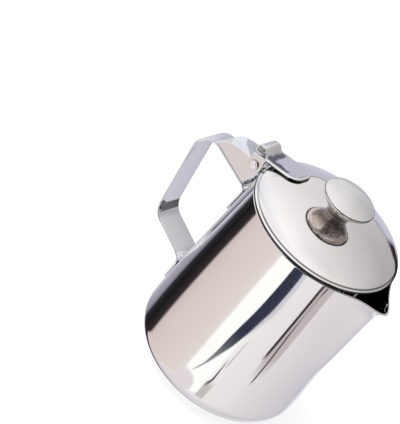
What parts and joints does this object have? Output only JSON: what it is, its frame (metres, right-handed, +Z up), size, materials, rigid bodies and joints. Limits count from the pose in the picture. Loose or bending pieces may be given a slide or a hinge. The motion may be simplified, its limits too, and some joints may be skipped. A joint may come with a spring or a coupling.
{
  "type": "hot milk jug",
  "caption": "Small round steel milk jug with a pressed pouring spout, a bent strip handle and a hinged domed lid with a thumb piece and a knob.",
  "frame": {"origin": "centre of the flat base, on the axis of the body, on the table", "axes": "+Z up along the axis of the body and of the knob; +X to the spout, -X to the handle and the hinge of the lid; the jug is symmetric left to right, about the XZ plane"},
  "size_m": [0.1165, 0.0816, 0.116],
  "materials": {
    "body_steel": "mirror polished",
    "handle_steel": "polished",
    "pin_steel": "polished",
    "leaf_steel": "polished",
    "lid_steel": "mirror polished",
    "knob_steel": "mirror polished",
    "screw_steel": "plain turned"
  },
  "bodies": {
    "jug": {"body_shell": "body_steel", "handle": "handle_steel", "hinge_pin": "pin_steel"},
    "lid": {"lid_shell": "lid_steel", "hinge_leaf": "leaf_steel", "knob_cap": "knob_steel", "knob_skirt": "knob_steel", "knob_stud": "screw_steel", "knob_screw": "screw_steel", "knob_washer": "screw_steel"}
  },
  "joints": [
    {"name": "lid_hinge", "type": "hinge", "parent": "jug", "child": "lid", "pos_m": [-0.0412, 0, 0.0922], "axis": [0, -1, 0], "range_deg": [0, 85]}
  ]
}
